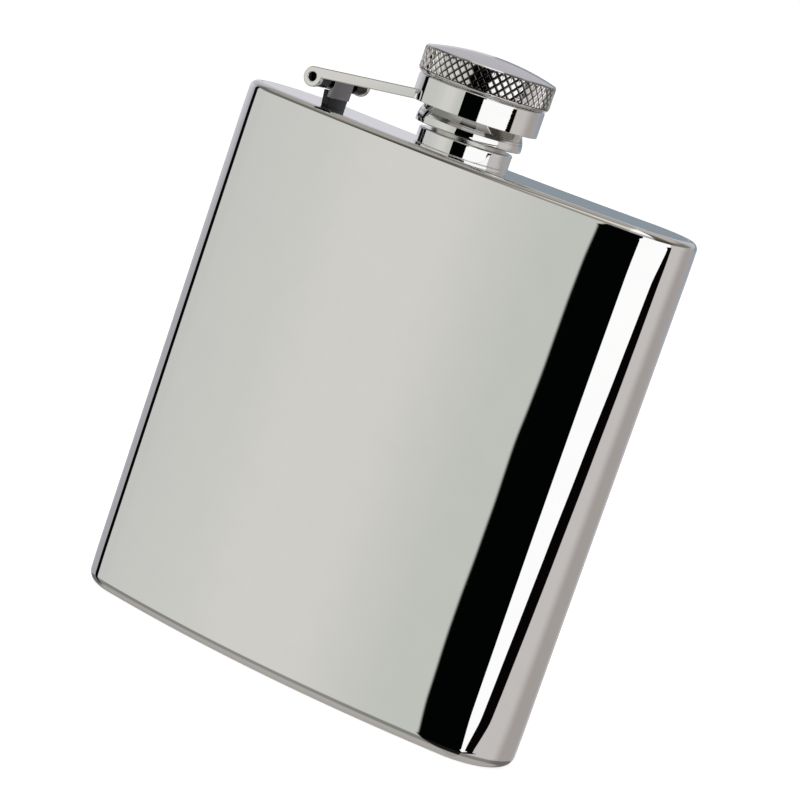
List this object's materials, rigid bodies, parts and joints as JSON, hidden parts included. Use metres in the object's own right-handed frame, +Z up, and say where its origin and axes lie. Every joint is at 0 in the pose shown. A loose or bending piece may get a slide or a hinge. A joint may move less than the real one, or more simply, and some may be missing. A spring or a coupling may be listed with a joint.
{
  "type": "hip flask",
  "caption": "Curved, flat pocket flask in mirror-polished steel, with a knurled screw cap held captive in a ring on a hinged arm.",
  "frame": {"origin": "on the base, on the line of the spout and the middle of the body's width", "axes": "+Z up along the spout, front (the bulging face) faces -Y, +X to the right with the hinge on the -X side"},
  "size_m": [0.092, 0.0267, 0.1176],
  "materials": {
    "polished_sheet": "mirror-polished stainless sheet",
    "polished_trim": "mirror-polished turned steel",
    "knurled_steel": "polished, with a diamond-knurled rim",
    "turned_steel": "turned, with a screw thread",
    "hinge_steel": "semi-polished",
    "liner": "soft matte sealing disc"
  },
  "bodies": {
    "flask": {"body_wall": "polished_sheet", "top_panel": "polished_sheet", "base_panel": "polished_sheet", "spout": "turned_steel", "spout_collar": "polished_trim", "hinge_foot": "hinge_steel", "hinge_lug": "hinge_steel", "hinge_pin": "hinge_steel"},
    "arm": {"front_arm": "polished_trim", "rear_arm": "polished_trim", "front_knuckle": "hinge_steel", "rear_knuckle": "hinge_steel", "captive_ring": "polished_trim"},
    "cap": {"cap_head": "knurled_steel", "cap_sleeve": "turned_steel", "flared_collar": "polished_trim", "cap_liner": "liner"}
  },
  "joints": [
    {"name": "arm_swing", "type": "hinge", "parent": "flask", "child": "arm", "pos_m": [-0.0283, 0, 0.1037], "axis": [0, -1, 0], "range_deg": [0, 165]},
    {"name": "cap_turn", "type": "hinge", "parent": "arm", "child": "cap", "pos_m": [0, 0, 0.1087], "axis": [0, 0, 1], "continuous": true}
  ]
}
